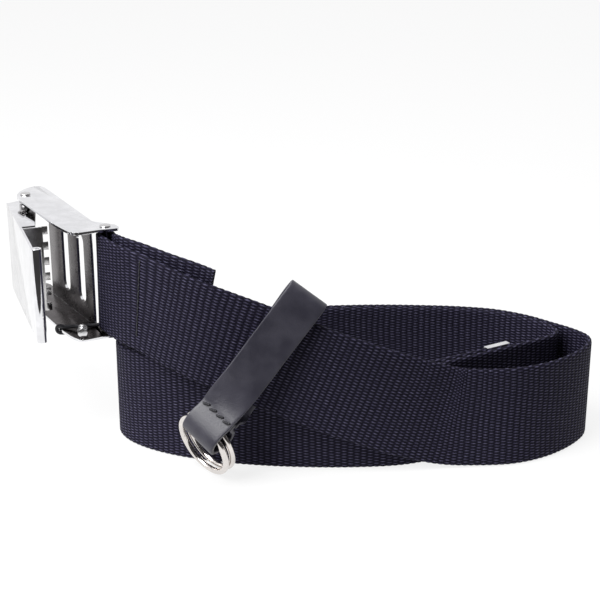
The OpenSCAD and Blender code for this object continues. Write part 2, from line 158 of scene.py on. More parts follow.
class Shader:
    """A material or world, and the one way its nodes are made."""

    def __init__(self, owner: "bpy.types.Material | bpy.types.World") -> None:
        """Start with an empty node tree.

        Args:
            owner: The material or world to build.
        """
        owner.use_nodes = True
        self.tree = owner.node_tree
        self.tree.nodes.clear()

    def node(self, kind: str, settings: "dict | None" = None, inputs: "dict | None" = None,
             outlet: "int | str" = 0) -> Number:
        """Add a node.

        Args:
            kind: The node's type.
            settings: Its properties, set first; "stops" gives a ramp's places and colours.
            inputs: A value or a Number for each input socket, by name or place.
            outlet: The output socket to return.

        Returns:
            The chosen output.
        """
        made = self.tree.nodes.new(kind)
        for key, value in (settings or {}).items():
            if key == "stops":
                ramp = made.color_ramp.elements
                while len(ramp) < len(value):
                    ramp.new(1.0)
                for element, (place, colour) in zip(ramp, value):
                    element.position = place
                    element.color = colour
            else:
                setattr(made, key, value)
        for key, value in (inputs or {}).items():
            if isinstance(value, Number):
                self.tree.links.new(value.socket, made.inputs[key])
            else:
                made.inputs[key].default_value = value
        return Number(self, made.outputs[outlet])

    def axis(self, vector: Number, name: str) -> Number:
        """One axis, X, Y or Z, of a vector."""
        return self.node("ShaderNodeSeparateXYZ", {}, {0: vector}, name)

    def colour(self, factor: "Number | float", low: "tuple | Number",
               high: "tuple | Number") -> Number:
        """A colour between two.

        Args:
            factor: 0 for the first colour and 1 for the second.
            low: The first colour.
            high: The second colour.

        Returns:
            The mixed colour.
        """
        return self.node("ShaderNodeMix", {"data_type": "RGBA"}, {0: factor, 6: low, 7: high}, 2)

    def place(self, outlet: str = "Object") -> Number:
        """The surface's own coordinates."""
        return self.node("ShaderNodeTexCoord", outlet=outlet)

    def noise(self, vector: Number, scale: float, detail: float = 2.0, rough: float = 0.5) -> Number:
        """Soft noise.

        Args:
            vector: Where to read it.
            scale: Its scale, per metre on Object coordinates.
            detail: How many finer layers it has.
            rough: How strong the finer layers are.

        Returns:
            A number about 0.5.
        """
        return self.node("ShaderNodeTexNoise", {},
                         {"Vector": vector, "Scale": scale, "Detail": detail, "Roughness": rough})

    def bump(self, height: Number, depth: float, strength: float = 1.0) -> Number:
        """Tilt the surface by a height.

        Args:
            height: The height, from 0 to 1.
            depth: How deep 1 is, in metres.
            strength: How much of it shows.

        Returns:
            The normal.
        """
        return self.node("ShaderNodeBump", {},
                         {"Height": height, "Distance": depth, "Strength": strength})

    def surface(self, **sockets: "Number | float | tuple") -> None:
        """Finish the material with a Principled shader.

        Args:
            sockets: Its inputs, with _ for each space in their names.
        """
        inputs = {name.replace("_", " "): value for name, value in sockets.items()}
        bsdf = self.node("ShaderNodeBsdfPrincipled", {}, inputs)
        self.node_out("ShaderNodeOutputMaterial", bsdf)

    def node_out(self, kind: str, surface: Number) -> None:
        """Link a shader to the output."""
        made = self.tree.nodes.new(kind)
        self.tree.links.new(surface.socket, made.inputs["Surface"])


@dataclass(frozen=True)
class WovenFinish:
    """Heavy ribbed webbing: yarns along the strap that pass over ribs across it. Its colour holds
    painted shade between the yarn floats and a painted sheen highlight on them.
    """

    name: str = "ribbed_webbing"
    length: float = 1354 * MM
    width: float = 50.8 * MM
    rib_pitch: float = 3.1 * MM
    yarn_pitch: float = 0.76 * MM
    # Painted shade: the gaps between the yarn floats are darker than the floats.
    gap_shade_colour: tuple = (0.0064, 0.0056, 0.0125, 1)
    yarn_colour: tuple = (0.021, 0.019, 0.041, 1)
    # Painted sheen highlight on the tops of the yarn floats.
    painted_sheen_colour: tuple = (0.125, 0.118, 0.19, 1)

    def material(self) -> bpy.types.Material:
        """Make the material, on the piece's own UV map."""
        made = bpy.data.materials.new(self.name)
        shader = Shader(made)
        cloth = shader.place("UV")
        along = shader.axis(cloth, "X") * (self.length / self.rib_pitch)
        across = shader.axis(cloth, "Y") * (self.width / self.yarn_pitch)
        spot = shader.node("ShaderNodeCombineXYZ", {}, {0: along, 1: across * 0.5, 2: 0.0})
        uneven = shader.noise(spot, 0.9, 3.0, 0.6)
        drift = (shader.noise(spot, 0.05, 2.0) - 0.5) * 0.9
        float_up = (((along + drift) * math.pi).cos() * (across * math.pi).cos()).at_least(0.0) ** 0.7
        rib = ((along + drift) * (2 * math.pi)).cos() * 0.5 + 0.5
        height = float_up * 0.75 + rib * 0.25
        haze = shader.noise(shader.place(), 30.0, 3.0, 0.6)
        # Painted shade: darker where the weave sinks between the floats.
        shaded_yarn = shader.colour(float_up.step(0.05, 0.6), self.gap_shade_colour, self.yarn_colour)
        # Painted sheen highlight on the float tops where the noise is high; the haze noise below makes
        # it patchier.
        shine = float_up.step(0.45, 1.0) * (uneven - 0.28).at_least(0.0) * 1.9
        base = shader.colour((shine * (haze * 0.6 + 0.7)).at_most(1.0), shaded_yarn, self.painted_sheen_colour)
        rough = 0.74 - float_up * 0.2 + (uneven - 0.5) * 0.2
        shader.surface(Base_Color=base, Roughness=rough, Specular_IOR_Level=0.1,
                       Normal=shader.bump(height, 0.0004, 0.9))
        return made


@dataclass(frozen=True)
class LeatherFinish:
    """Dyed leather with a fine grain and a soft shine."""

    name: str
    colour: tuple = (0.024, 0.023, 0.034, 1)
    worn: tuple = (0.055, 0.053, 0.07, 1)
    grain: float = 1500.0

    def material(self) -> bpy.types.Material:
        """Make the material, on Object coordinates."""
        made = bpy.data.materials.new(self.name)
        shader = Shader(made)
        place = shader.place()
        cells = shader.node("ShaderNodeTexVoronoi", {"feature": "SMOOTH_F1"},
                            {"Vector": place, "Scale": self.grain})
        fine = shader.noise(place, 4200.0, 3.0, 0.6)
        cloud = shader.noise(place, 90.0, 3.0, 0.55)
        base = shader.colour((cloud - 0.35).at_least(0.0) * 1.5, self.colour, self.worn)
        rough = 0.4 + (cloud - 0.5) * 0.22 + (fine - 0.5) * 0.12
        shader.surface(Base_Color=base, Roughness=rough, Specular_IOR_Level=0.5,
                       Normal=shader.bump(cells * 0.7 + fine * 0.3, 0.00016, 0.55))
        return made


@dataclass(frozen=True)
class MetalFinish:
    """Polished or plated metal with faint handling marks."""

    name: str
    colour: tuple
    roughness: float
    smudge: float = 0.05
    hairline: float = 0.0

    def material(self) -> bpy.types.Material:
        """Make the material, on Object coordinates."""
        made = bpy.data.materials.new(self.name)
        shader = Shader(made)
        place = shader.place()
        smear = shader.noise(place, 130.0, 4.0, 0.6)
        fine = shader.noise(place, 900.0, 2.0)
        dim = tuple(c * 0.86 for c in self.colour[:3]) + (1,)
        base = shader.colour(smear.step(0.35, 0.75), dim, self.colour)
        rough = self.roughness + smear.step(0.4, 0.8) * self.smudge + (fine - 0.5) * self.smudge
        brush = shader.node("ShaderNodeMapping", {"vector_type": "TEXTURE"},
                            {"Vector": place, "Scale": (1.0, 1.0, 0.02)})
        lines = shader.noise(brush, 2600.0, 2.0) * self.hairline + fine * 0.15
        shader.surface(Base_Color=base, Roughness=rough, Metallic=1.0,
                       Normal=shader.bump(lines, 0.00002, 0.25))
        return made


@dataclass(frozen=True)
class TwistFinish:
    """Thread or braided cord: strands that wind round the piece, with painted light on their crowns and
    painted shade in the grooves between them.
    """

    name: str
    strands: float
    turns: float
    both_ways: bool
    colour: tuple = (0.006, 0.006, 0.009, 1)
    # Painted light on the strand crowns; the first colour is the painted shade in the grooves.
    painted_crown_light: tuple = (0.03, 0.03, 0.037, 1)

    def material(self) -> bpy.types.Material:
        """Make the material, on the piece's own UV map."""
        made = bpy.data.materials.new(self.name)
        shader = Shader(made)
        tube = shader.place("UV")
        along = shader.axis(tube, "X") * self.turns
        around = shader.axis(tube, "Y") * self.strands
        wind = ((along + around) * (2 * math.pi)).cos()
        if self.both_ways:
            wind = wind * ((along - around) * (2 * math.pi)).cos()
        lay = wind * 0.5 + 0.5
        fuzz = shader.noise(shader.place(), 2600.0, 3.0, 0.6)
        # Painted light and shade: lighter on the strand crowns, darker in the grooves, patchy by noise.
        base = shader.colour(lay * fuzz * 1.4, self.colour, self.painted_crown_light)
        shader.surface(Base_Color=base, Roughness=0.55 + (fuzz - 0.5) * 0.3,
                       Normal=shader.bump(lay * 0.8 + fuzz * 0.2, 0.0002, 0.9))
        return made


class SmoothLine:
    """A smooth line through points, with a side direction at each, measured along its length."""

    def __init__(self, points: Sequence[Vector], sides: "Sequence[Vector] | None" = None,
                 per_span: int = 12) -> None:
        """Run the curve.

        Args:
            points: The points it goes through, in metres.
            sides: A direction for each point, or none.
            per_span: Steps from one point to the next.
        """
        self.spots = self._run(points, per_span)
        self.sides = []
        for before, after in zip(sides or [], (sides or [])[1:]):
            self.sides += [before.lerp(after, j / per_span) for j in range(per_span)]
        self.sides += list(sides or [])[-1:]
        self.reach = [0.0]
        for before, after in zip(self.spots, self.spots[1:]):
            self.reach.append(self.reach[-1] + (after - before).length)

    @staticmethod
    def _run(points: Sequence[Vector], per_span: int) -> "list[Vector]":
        """Catmull-Rom curve through points, paced by the roots of their distances.

        Args:
            points: The points.
            per_span: Steps from one point to the next.

        Returns:
            The curve's points.
        """
        last = len(points) - 1
        made = []
        for i in range(last):
            q, r = points[i], points[i + 1]
            p = points[i - 1] if i else 2 * q - r
            s = points[i + 2] if i + 1 < last else 2 * r - q
            d0, d1, d2 = ((b - a).length ** 0.5 for a, b in ((p, q), (q, r), (r, s)))
            leave = d1 * ((q - p) / d0 - (r - p) / (d0 + d1) + (r - q) / d1)
            reach = d1 * ((r - q) / d1 - (s - q) / (d1 + d2) + (s - r) / d2)
            for j in range(per_span):
                t = j / per_span
                made.append(q * (2 * t ** 3 - 3 * t ** 2 + 1) + leave * (t ** 3 - 2 * t ** 2 + t)
                            + r * (3 * t ** 2 - 2 * t ** 3) + reach * (t ** 3 - t ** 2))
        return made + [points[last].copy()]

    @property
    def length(self) -> float:
        """The line's length in metres."""
        return self.reach[-1]

    def _find(self, share: float) -> "tuple[int, float]":
        """Find a place on the line.

        Args:
            share: How far along, from 0 to 1.

        Returns:
            The step before it, and how far it is to the next.
        """
        goal = min(max(share, 0.0), 1.0) * self.length
        i = min(max(bisect.bisect_right(self.reach, goal) - 1, 0), len(self.spots) - 2)
        span = self.reach[i + 1] - self.reach[i]
        return i, (goal - self.reach[i]) / span if span else 0.0

    def at(self, share: float) -> Vector:
        """The point at a share of the length."""
        i, rest = self._find(share)
        return self.spots[i].lerp(self.spots[i + 1], rest)

    def side(self, share: float) -> Vector:
        """The side direction at a share of the length."""
        i, rest = self._find(share)
        return self.sides[i].lerp(self.sides[i + 1], rest)

    def heading(self, share: float) -> Vector:
        """The direction of travel at a share of the length."""
        near = 0.4 * MM / self.length
        return (self.at(share + near) - self.at(share - near)).normalized()


class Bench:
    """Steps that every sub-assembly uses to make, finish and hand over a piece."""

    @staticmethod
    def only(piece: bpy.types.Object) -> None:
        """Select one piece and make it active."""
        bpy.ops.object.select_all(action="DESELECT")
        piece.select_set(True)
        bpy.context.view_layer.objects.active = piece

    @staticmethod
    def grid(name: str, along: int, across: int,
             place: Callable[[float, float], Vector]) -> bpy.types.Object:
        """Add a grid and lay it out.

        Args:
            name: The piece's name.
            along: Faces along it.
            across: Faces across it.
            place: Gives the point for a share along and a share across.

        Returns:
            The piece, with a UV map of the two shares.
        """
        bpy.ops.object.select_all(action="DESELECT")
        bpy.ops.mesh.primitive_grid_add(x_subdivisions=along, y_subdivisions=across, size=2)
        piece = bpy.context.object
        piece.name = piece.data.name = name
        for vertex in piece.data.vertices:
            vertex.co = place((vertex.co.x + 1) / 2, (vertex.co.y + 1) / 2)
        return piece

    @classmethod
    def apply(cls, piece: bpy.types.Object, kind: str, **settings: object) -> None:
        """Add a modifier and apply it.

        Args:
            piece: The piece.
            kind: The modifier's type.
            settings: Its properties.
        """
        cls.only(piece)
        modifier = piece.modifiers.new(kind.lower(), kind)
        for key, value in settings.items():
            setattr(modifier, key, value)
        bpy.ops.object.modifier_apply(modifier=modifier.name)

    @classmethod
    def close(cls, piece: bpy.types.Object, caps: bool = True) -> None:
        """Merge doubles, fill open ends and turn every face outwards.

        Args:
            piece: The piece.
            caps: Whether open ends are filled.
        """
        cls.only(piece)
        bpy.ops.object.mode_set(mode="EDIT")
        bpy.ops.mesh.select_all(action="SELECT")
        bpy.ops.mesh.remove_doubles(threshold=0.000002)
        if caps:
            bpy.ops.mesh.select_all(action="SELECT")
            bpy.ops.mesh.fill_holes(sides=0)
        bpy.ops.mesh.select_all(action="SELECT")
        bpy.ops.mesh.normals_make_consistent(inside=False)
        bpy.ops.object.mode_set(mode="OBJECT")

    @classmethod
    def smooth(cls, piece: bpy.types.Object, degrees: float = 35.0) -> None:
        """Shade smooth up to an angle."""
        cls.only(piece)
        bpy.ops.object.shade_smooth_by_angle(angle=math.radians(degrees))

    @classmethod
    def tube(cls, name: str, line: SmoothLine, radius: float, along: int,
             around: int = 12) -> bpy.types.Object:
        """A round cord along a line.

        Args:
            name: The piece's name.
            line: Its middle line.
            radius: Its radius.
            along: Faces along it.
            around: Faces round it.

        Returns:
            The closed piece.
        """
        first = line.heading(0.0)
        sides = [first.orthogonal().normalized()]
        for k in range(1, along + 1):
            before, after = line.heading((k - 1) / along), line.heading(k / along)
            side = before.rotation_difference(after) @ sides[-1]
            sides.append((side - after * side.dot(after)).normalized())

        def place(share: float, turn: float) -> Vector:
            """The cord's skin at a share of its length and of a turn round it."""
            side = sides[round(share * along)]
            out = side.cross(line.heading(share))
            angle = turn * 2 * math.pi
            return line.at(share) + radius * (math.cos(angle) * side + math.sin(angle) * out)

        piece = cls.grid(name, along, around, place)
        cls.close(piece)
        cls.smooth(piece, 60.0)
        return piece

    @classmethod
    def softened(cls, name: str, node: str, edge: float, segments: int = 3) -> bpy.types.Object:
        """A copy of a rigid node with its edges rounded.

        Args:
            name: The piece's name.
            node: The node it is a copy of.
            edge: The width of the rounding.
            segments: Faces across the rounding.

        Returns:
            The piece.
        """
        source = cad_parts[node]
        piece = bpy.data.objects.new(name, source.data.copy())
        bpy.context.scene.collection.objects.link(piece)
        piece.data.materials.clear()
        cls.only(piece)
        bpy.ops.object.mode_set(mode="EDIT")
        bpy.ops.mesh.select_all(action="SELECT")
        bpy.ops.mesh.remove_doubles(threshold=0.00001)
        bpy.ops.mesh.dissolve_limited(angle_limit=math.radians(0.6))
        bpy.ops.object.mode_set(mode="OBJECT")
        cls.apply(piece, "BEVEL", width=edge, segments=segments, limit_method="ANGLE",
                  angle_limit=math.radians(38), harden_normals=False)
        cls.smooth(piece, 32.0)
        return piece

    @classmethod
    def join(cls, name: str, pieces: "list[bpy.types.Object]") -> bpy.types.Object:
        """Make several pieces one.

        Args:
            name: The joined piece's name.
            pieces: What to join.

        Returns:
            The piece.
        """
        bpy.ops.object.select_all(action="DESELECT")
        for piece in pieces:
            piece.select_set(True)
        bpy.context.view_layer.objects.active = pieces[0]
        if len(pieces) > 1:
            bpy.ops.object.join()
        joined = bpy.context.object
        joined.name = joined.data.name = name
        return joined

    @staticmethod
    def finish(piece: bpy.types.Object, body: Body, slot: Slot, finishes: Sequence[bpy.types.Material],
               nodes: Sequence[str] = ()) -> bpy.types.Object:
        """Dress a piece and hand it to the frame.

        Args:
            piece: The piece.
            body: The body it rides on.
            slot: The record's slot; not used.
            finishes: Its materials.
            nodes: The nodes it stands for.

        Returns:
            The piece.
        """
        for finish in finishes:
            piece.data.materials.append(finish)
        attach(piece, body.value)
        if nodes:
            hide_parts(*nodes)
        LOG.info("%s: %d faces on %s", piece.name, len(piece.data.polygons), body.value)
        return piece


def points(rows: Sequence[Sequence[float]]) -> "list[Vector]":
    """Points of the drawing, in millimetres, as places in the frame."""
    return [Vector(row) * MM + SHIFT for row in rows]


@dataclass
class Strap:
    """The belt's webbing, its sewn end and the pressed tip on its free end."""

    width: float = 50.8 * MM
    thickness: float = 2.5 * MM
    rib_pitch: float = 3.1 * MM
    scallop: float = 0.3 * MM
    rib_depth: float = 0.16 * MM
    bulge: float = 3.4 * MM
    bulge_span: float = 14 * MM
    square_span: float = 8 * MM
    lean_span: float = 32 * MM
    layer_gap: float = 0.6 * MM
    thread_radius: float = 0.36 * MM
    base: float = 54.5
    bar: tuple = (-96.0, 1.0)
    fold_radius: float = 3.55
    frame_turn: float = 124.0
    stitch_from_bar: float = 32 * MM
    stitch_pitch: float = 4 * MM
    stitch_first: float = 8 * MM
    stitch_count: int = 11

    def route(self) -> SmoothLine:
        """The lower edge of the strap, from its sewn end to its free end."""
        sewn = [(-49.2, -39.8, self.base - 3.1), (-64.6, -32.2, self.base + 0.6),
                (-75.9, -23.9, self.base + 2.4), (-84.9, -15.2, self.base + 2.4),
                (-90.2, -5.6, self.base + 0.8)]
        turn = []
        for k in range(9):
            angle = math.radians(self.frame_turn - 90 + 22.5 * k)
            turn.append((self.bar[0] + self.fold_radius * math.cos(angle),
                         self.bar[1] + self.fold_radius * math.sin(angle), self.base))
        front = [(-94.6, -8.2, self.base - 0.2), (-87.5, -17.6, 53.8), (-78, -26.5, 53),
                 (-66, -35, 49.5), (-50, -43, 44.5), (-28, -49, 37), (0, -52, 25.8),
                 (25, -52, 16.2), (48, -49.5, 7.6), (68, -46, 1.8), (84, -44.2, 0.3)]
        outer = [(105, -41.5), (122, -33.5), (137, -20), (144.6, -8), (145.4, 1), (140, 10),
                 (131, 19), (119, 30), (104, 38.5), (86, 42.8), (65, 44.8), (40, 45.5), (14, 44),
                 (-15, 40.5), (-42, 34.5), (-64, 26), (-80, 16.5), (-89, 6.5), (-91.6, -3),
                 (-88, -12.5), (-80, -21.4), (-66, -30.4), (-46, -38), (-22, -43.2), (5, -45.6),
                 (30, -45.4), (48, -43.4), (60, -39.6), (74, -31.5), (91, -21.5), (110, -10)]
        inner = [(123, -1.8), (129.4, 4), (131.2, 10), (128, 16.8), (116.4, 27.2), (102.4, 35),
                 (85.4, 39.1), (64.8, 41.2), (40, 41.9), (14.6, 40.4), (-14.2, 37), (-40.8, 31.2),
                 (-62, 23), (-77, 14), (-85.4, 5), (-87.8, -3), (-84.8, -10.8), (-77.6, -18.6),
                 (-64.4, -27.2), (-45, -34.5), (-21.4, -39.6), (5, -42), (30, -41.8), (47, -39.9),
                 (58.4, -36.4), (72.2, -28.4), (89.2, -18.4), (103, -10)]
        flat = [(x, y, 0) for x, y in outer + inner]
        per_span = 12
        self.bar_step = (len(sewn) + (len(turn) - 1) // 2) * per_span
        self.turn_step = (len(sewn) + len(turn) - 1) * per_span
        return SmoothLine(points(sewn + turn + front + flat), per_span=per_span)

    def upright(self, line: SmoothLine, share: float) -> "tuple[Vector, Vector]":
        """Directions of the strap's section: square to its line, and upright on the bar.

        Args:
            line: The strap's line.
            share: How far along it.

        Returns:
            The direction across the webbing, and the one up its width.
        """
        heading = line.heading(share)
        from_bar = abs(share * line.length - line.reach[self.bar_step])
        heading.z *= min(1.0, max(0.0, (from_bar - self.square_span) / self.lean_span))
        across = Vector((heading.y, -heading.x, 0)).normalized()
        return across, across.cross(heading.normalized())

    def build(self, weave: bpy.types.Material, thread: bpy.types.Material,
              tip_metal: bpy.types.Material) -> None:
        """Make and dress the strap's pieces.

        Args:
            weave: The webbing's finish.
            thread: The stitches' finish.
            tip_metal: The tip's finish.
        """
        line = self.route()
        webbing = self._weave_strip(line)
        Bench.finish(webbing, Body.BELT, Slot.WEBBING, [weave], ["webbing"])
        self._stitch(line, thread)
        tip = Bench.softened("strap_end_tip", "strap_tip", 0.15 * MM)
        Bench.finish(tip, Body.BELT, Slot.TIP_METAL, [tip_metal], ["strap_tip"])

    def _section(self) -> "list[tuple[float, float]]":
        """The webbing's section, round from the middle of its inner face.

        Returns:
            For each point, how far it stands out and how far up the width it is.
        """
        half = self.thickness / 2
        steps = 10
        first, last = 0.12, 0.88
        flat = (1 - 2 * half / self.width) / math.cos(first * math.pi)
        turns = [math.pi * (first + (last - first) * k / steps) for k in range(steps + 1)]
        face = [self.width * (0.5 - 0.5 * math.cos(turn) * flat) for turn in turns]
        arc = [math.radians(a) for a in (-60, -30, 0, 30, 60)]
        rows = [(half, rise) for rise in face]
        rows += [(-half * math.sin(a), self.width - half + half * math.cos(a)) for a in arc]
        rows += [(-half, rise) for rise in reversed(face)]
        rows += [(half * math.sin(a), half - half * math.cos(a)) for a in arc]
        return rows + rows[:1]

    def _weave_strip(self, line: SmoothLine) -> bpy.types.Object:
        """Lay the webbing along its line, with scalloped selvedges.

        Args:
            line: The strap's lower edge.

        Returns:
            The closed strip, with a UV map of its length and width.
        """
        section = self._section()
        last = len(section) - 1
        ribs = line.length / self.rib_pitch
        turn = math.radians(self.frame_turn)
        towards_plate = Vector((math.cos(turn), math.sin(turn), 0))

        def place(share: float, turn: float) -> Vector:
            """The webbing's skin at a share of its length and of its section."""
            out, rise = section[round(turn * last)]
            across, up = self.upright(line, share)
            edge = 2 * rise / self.width - 1
            wave = self.scallop * (abs(math.cos(math.pi * ribs * share)) - 0.6) * edge ** 31
            rib = self.rib_depth * (0.5 - 0.5 * math.cos(2 * math.pi * ribs * share))
            skin = out * (1 - rib / self.thickness * 2)
            from_bar = abs(share * line.length - line.reach[self.bar_step])
            slack = max(0.0, 1 - from_bar / self.bulge_span) ** 2 * (1 - rise / self.width) ** 1.3
            spot = line.at(share) + across * skin + up * (rise + wave)
            return spot + towards_plate * slack * self.bulge

        strip = Bench.grid("belt_webbing", 2600, last, place)
        cloth = strip.data.uv_layers.active.data
        for loop in cloth:
            loop.uv.y = section[round(loop.uv.y * last)][1] / self.width
        Bench.close(strip)
        Bench.smooth(strip, 60.0)
        return strip

    def _stitch(self, line: SmoothLine, thread: bpy.types.Material) -> None:
        """Sew the turned-back end: a row of short threads on both faces.

        Args:
            line: The strap's line.
            thread: The stitches' finish.
        """
        start = line.reach[self.turn_step]
        share = (start + self.stitch_from_bar) / line.length
        across, up = self.upright(line, share)
        foot = line.at(share)
        made = []
        half = self.thickness / 2
        for face in (-1.0, 1.0):
            skin = -half if face < 0 else 3 * half + self.layer_gap
            for k in range(self.stitch_count - 1):
                low = self.stitch_first + k * self.stitch_pitch
                rows = []
                for t, lift in ((0.0, -0.5), (0.12, 0.1), (0.5, 0.28), (0.88, 0.1), (1.0, -0.5)):
                    rise = low + t * self.stitch_pitch
                    rows.append(foot - across * (skin + face * lift * MM) + up * rise)
                path = SmoothLine(rows, per_span=6)
                made.append(Bench.tube("fold_thread", path, self.thread_radius, 14, 8))
        row = Bench.join("fold_stitches", made)
        Bench.finish(row, Body.BELT, Slot.THREAD, [thread], ["fold_stitching"])


@dataclass
class Buckle:
    """The clamp buckle: frame, bar, pin, bushes, cover and toothed strip."""

    edge: float = 0.6 * MM
    frame_turn: float = 124.0

    def build(self, chrome: bpy.types.Material, dull_shaded_inside: bpy.types.Material,
              steel: bpy.types.Material) -> None:
        """Make and dress the buckle's pieces.

        Args:
            chrome: The finish of the frame and cover.
            dull_shaded_inside: The finish of the frame's inside: duller, and painted dark for the shade
                inside the channel.
            steel: The finish of the pins, bushes and teeth.
        """
        for node, body, slot, finish, edge in (
                ("buckle_frame", Body.BUCKLE, Slot.BRIGHT_METAL, chrome, self.edge),
                ("end_bar", Body.BUCKLE, Slot.PIN_METAL, steel, 0.25 * MM),
                ("pivot_pin", Body.BUCKLE, Slot.PIN_METAL, steel, 0.25 * MM),
                ("pin_spacers", Body.BUCKLE, Slot.PIN_METAL, steel, 0.25 * MM),
                ("cover_plate", Body.COVER, Slot.BRIGHT_METAL, chrome, 0.35 * MM),
                ("tooth_strip", Body.COVER, Slot.PIN_METAL, steel, 0.2 * MM)):
            piece = Bench.softened(node + "_polished", node, edge)
            if node == "buckle_frame":
                self._mark_inside(piece)
                # The faces inside the channel get the dark second material: painted shade.
                Bench.finish(piece, body, slot, [finish, dull_shaded_inside], [node])
            else:
                Bench.finish(piece, body, slot, [finish], [node])

    def _mark_inside(self, piece: bpy.types.Object) -> None:
        """Give the faces inside the channel the second finish, which paints the shade inside the
        channel dark.

        Args:
            piece: The frame.
        """
        turn = math.radians(self.frame_turn)
        out = Vector((-math.sin(turn), math.cos(turn), 0))
        low, high = (corner.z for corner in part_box("buckle_frame"))
        middle = (low + high) / 2
        for face in piece.data.polygons:
            on_plate = face.normal.dot(out) > 0.6 and abs(face.center.z - middle) < 0.46 * (high - low)
            towards_middle = face.normal.z * (middle - face.center.z)
            on_wall = abs(face.normal.z) > 0.9 and towards_middle > 0.0
            face.material_index = int(on_plate or on_wall)


@dataclass
class Tie:
    """The cord round the buckle's lower wall and the ferrule on its ends."""

    frame_low: float = 51.4
    sheet: float = 1.4
    cord_radius: float = 1.0
    ferrule_radius: float = 2.4
    ferrule_length: float = 7.0
    ferrule_spot: tuple = (6.5, -4.0)
    ferrule_turn: float = -25.0
    bar: tuple = (-96.0, 1.0)
    frame_turn: float = 124.0

    def in_buckle(self, x: float, y: float, z: float) -> Vector:
        """A point of the buckle's own drawing as a place in the frame.

        Args:
            x: Along the buckle from its end, in millimetres.
            y: Minus the depth from its front edge.
            z: Height.

        Returns:
            The place.
        """
        turn = math.radians(self.frame_turn)
        a, b = x - 4, y + 18
        return Vector((self.bar[0] + a * math.cos(turn) - b * math.sin(turn),
                       self.bar[1] + a * math.sin(turn) + b * math.cos(turn), z)) * MM + SHIFT

    def _bend(self, at: "tuple[float, float]", way: "tuple[float, float]", first: int) -> "list[tuple]":
        """The cord's half turn over an edge of the wall.

        Args:
            at: The turn's middle, on the edge.
            way: The direction that the turn stands out in.
            first: 1 to start above the wall, -1 to start below it.

        Returns:
            Points of the turn.
        """
        radius = self.sheet / 2 + self.cord_radius + 0.1
        made = []
        for degrees in (90, 45, 0, -45, -90):
            out = radius * math.cos(math.radians(degrees))
            rise = first * radius * math.sin(math.radians(degrees))
            made.append((at[0] + out * way[0], at[1] + out * way[1],
                         self.frame_low + self.sheet / 2 + rise))
        return made

    def build(self, cord: bpy.types.Material, metal: bpy.types.Material) -> None:
        """Make and dress the tie.

        Args:
            cord: The cord's finish.
            metal: The ferrule's finish.
        """
        low = self.frame_low
        over = low + self.sheet + self.cord_radius + 0.1
        under = low - self.cord_radius - 0.1
        level = low + self.sheet + self.ferrule_radius + 0.1
        turn = math.radians(self.ferrule_turn)
        ahead = Vector((math.cos(turn), math.sin(turn)))
        beside = 1.15 * Vector((-math.sin(turn), math.cos(turn)))
        mouth = Vector(self.ferrule_spot) + ahead * self.ferrule_length / 2
        one, two = mouth + beside, mouth - beside
        rows = [(*one, level), (*(one + 1.5 * ahead), level), (15, -4, 55), (19.5, -1, over)]
        rows += self._bend((22.4, 1.2), (0.82, 0.57), 1)
        rows += [(19.8, -5.4, under), (15.9, -12, under)]
        rows += self._bend((12.1, -19), (-0.53, -0.85), -1)
        rows += [(13.3, -14.4, over + 0.1), (14.2, -10, over + 0.4),
                 (*(two + 1.5 * ahead), level), (*two, level)]
        line = SmoothLine([self.in_buckle(*row) for row in rows])
        piece = Bench.tube("wall_tie_cord", line, self.cord_radius * MM, 140, 16)
        Bench.finish(piece, Body.BUCKLE, Slot.CORD, [cord], ["tie_cord"])
        ferrule = Bench.softened("wall_tie_ferrule", "tie_ferrule", 0.35 * MM)
        Bench.finish(ferrule, Body.BUCKLE, Slot.TIP_METAL, [metal], ["tie_ferrule"])


